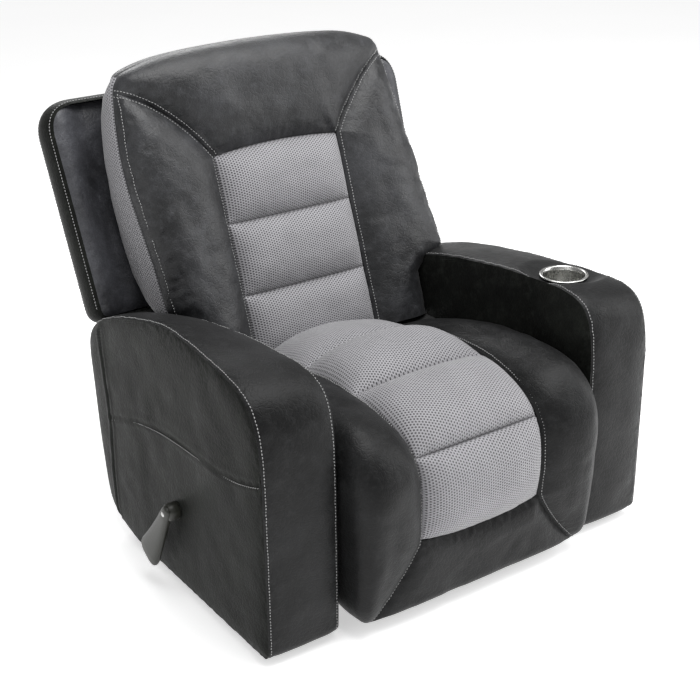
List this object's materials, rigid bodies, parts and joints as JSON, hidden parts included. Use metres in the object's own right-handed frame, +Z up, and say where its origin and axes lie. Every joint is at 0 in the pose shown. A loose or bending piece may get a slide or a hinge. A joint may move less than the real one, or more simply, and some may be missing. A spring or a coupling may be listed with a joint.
{
  "type": "zero gravity recliner",
  "caption": "Upholstered recliner armchair with padded arms, reclining back, linkage footrest, side release lever and a cup holder in one arm.",
  "frame": {"origin": "on the floor under the middle of the chair, between the arms", "axes": "+Z up, -Y the way the sitter faces, +X towards the arm with the cup holder"},
  "size_m": [1.002, 0.9694, 1.0076],
  "materials": {
    "charcoal_leather": "matte charcoal leather with grey mesh panels in the visual",
    "arm_wood": "plain plywood and pine",
    "black_steel": "satin black powder coat",
    "zinc_steel": "zinc plated",
    "cup_steel": "brushed stainless steel",
    "lever_plastic": "moulded, satin dark olive grey",
    "glide_rubber": "moulded black rubber",
    "webbing": "woven elastic strap"
  },
  "bodies": {
    "base": {"base_rails": "black_steel", "base_cross_tube_front": "black_steel", "base_cross_tube_rear": "black_steel", "floor_glides": "glide_rubber", "base_side_plates": "black_steel", "front_stop_posts": "black_steel", "stop_bumpers": "glide_rubber", "arm_brackets": "black_steel", "seat_tilt_bolts": "zinc_steel", "recline_link_studs": "zinc_steel", "arm_cover_right": "charcoal_leather", "arm_cover_left": "charcoal_leather", "arm_inner_panel_right": "arm_wood", "arm_inner_panel_left": "arm_wood", "arm_outer_panel_right": "arm_wood", "arm_outer_panel_left": "arm_wood", "arm_posts_right": "arm_wood", "arm_posts_left": "arm_wood", "arm_rails_right": "arm_wood", "arm_rails_left": "arm_wood", "cup_holder": "cup_steel", "lever_bush": "lever_plastic", "lever_return_spring": "zinc_steel"},
    "lever": {"lever_handle": "lever_plastic", "lever_screw": "zinc_steel", "lever_shaft": "zinc_steel", "release_cam": "black_steel"},
    "seat": {"seat_side_plates": "black_steel", "seat_front_rail": "arm_wood", "seat_rear_rail": "arm_wood", "seat_springs": "zinc_steel", "crank_pivot_pins": "zinc_steel", "back_pivot_bolts": "zinc_steel", "seat_cushion": "charcoal_leather"},
    "back": {"back_outer_cover": "charcoal_leather", "back_cushion": "charcoal_leather", "back_stiles": "arm_wood", "back_wing_posts": "arm_wood", "back_top_rail": "arm_wood", "back_middle_rail": "arm_wood", "back_lower_rail": "arm_wood", "back_wing_rails": "arm_wood", "back_webbing": "webbing", "back_brackets": "black_steel", "recline_link_pins": "zinc_steel"},
    "footrest": {"footrest_pad": "charcoal_leather", "footrest_board": "arm_wood", "footrest_brackets": "black_steel", "bracket_pins": "zinc_steel"},
    "front_crank": {"front_cranks": "black_steel", "front_crank_pins": "zinc_steel"},
    "rear_crank": {"rear_cranks": "black_steel", "rear_crank_pins": "zinc_steel", "drive_tube": "black_steel"},
    "upper_coupler": {"upper_couplers": "black_steel"},
    "lower_coupler": {"lower_couplers": "black_steel"},
    "recline_link": {"recline_links": "black_steel"}
  },
  "joints": [
    {"name": "back_recline", "type": "hinge", "parent": "seat", "child": "back", "pos_m": [0, 0.2, 0.352], "axis": [-1, 0, 0], "range_deg": [0, 36]},
    {"name": "seat_tilt", "type": "hinge", "parent": "base", "child": "seat", "pos_m": [0, 0.11, 0.262], "axis": [-1, 0, 0], "range_deg": [0, 12]},
    {"name": "footrest_extend", "type": "hinge", "parent": "seat", "child": "footrest", "pos_m": [0, -0.466, 0.37], "axis": [-1, 0, 0], "range_deg": [0, 88]},
    {"name": "front_crank_turn", "type": "hinge", "parent": "seat", "child": "front_crank", "pos_m": [0, -0.316, 0.295], "axis": [-1, 0, 0], "range_deg": [0, 88]},
    {"name": "rear_crank_turn", "type": "hinge", "parent": "seat", "child": "rear_crank", "pos_m": [0, -0.216, 0.28], "axis": [-1, 0, 0], "range_deg": [0, 88]},
    {"name": "upper_coupler_turn", "type": "hinge", "parent": "footrest", "child": "upper_coupler", "pos_m": [0, -0.338, 0.275], "axis": [-1, 0, 0], "range_deg": [-88, 0]},
    {"name": "lower_coupler_turn", "type": "hinge", "parent": "footrest", "child": "lower_coupler", "pos_m": [0, -0.326, 0.22], "axis": [-1, 0, 0], "range_deg": [-88, 0]},
    {"name": "recline_link_turn", "type": "hinge", "parent": "base", "child": "recline_link", "pos_m": [0, 0.19, 0.147], "axis": [-1, 0, 0], "range_deg": [-3, 0]},
    {"name": "lever_turn", "type": "hinge", "parent": "base", "child": "lever", "pos_m": [-0.4, -0.115, 0.2], "axis": [1, 0, 0], "range_deg": [0, 40], "stiffness_Nm_per_rad": 1.2, "springref_deg": -14.32}
  ],
  "couplings": [
    {"joint": "seat_tilt", "follows": "back_recline", "ratio": 0.33333},
    {"joint": "recline_link_turn", "follows": "back_recline", "ratio": -0.073},
    {"joint": "front_crank_turn", "follows": "footrest_extend", "ratio": 1},
    {"joint": "rear_crank_turn", "follows": "footrest_extend", "ratio": 1},
    {"joint": "upper_coupler_turn", "follows": "footrest_extend", "ratio": -1},
    {"joint": "lower_coupler_turn", "follows": "footrest_extend", "ratio": -1}
  ]
}
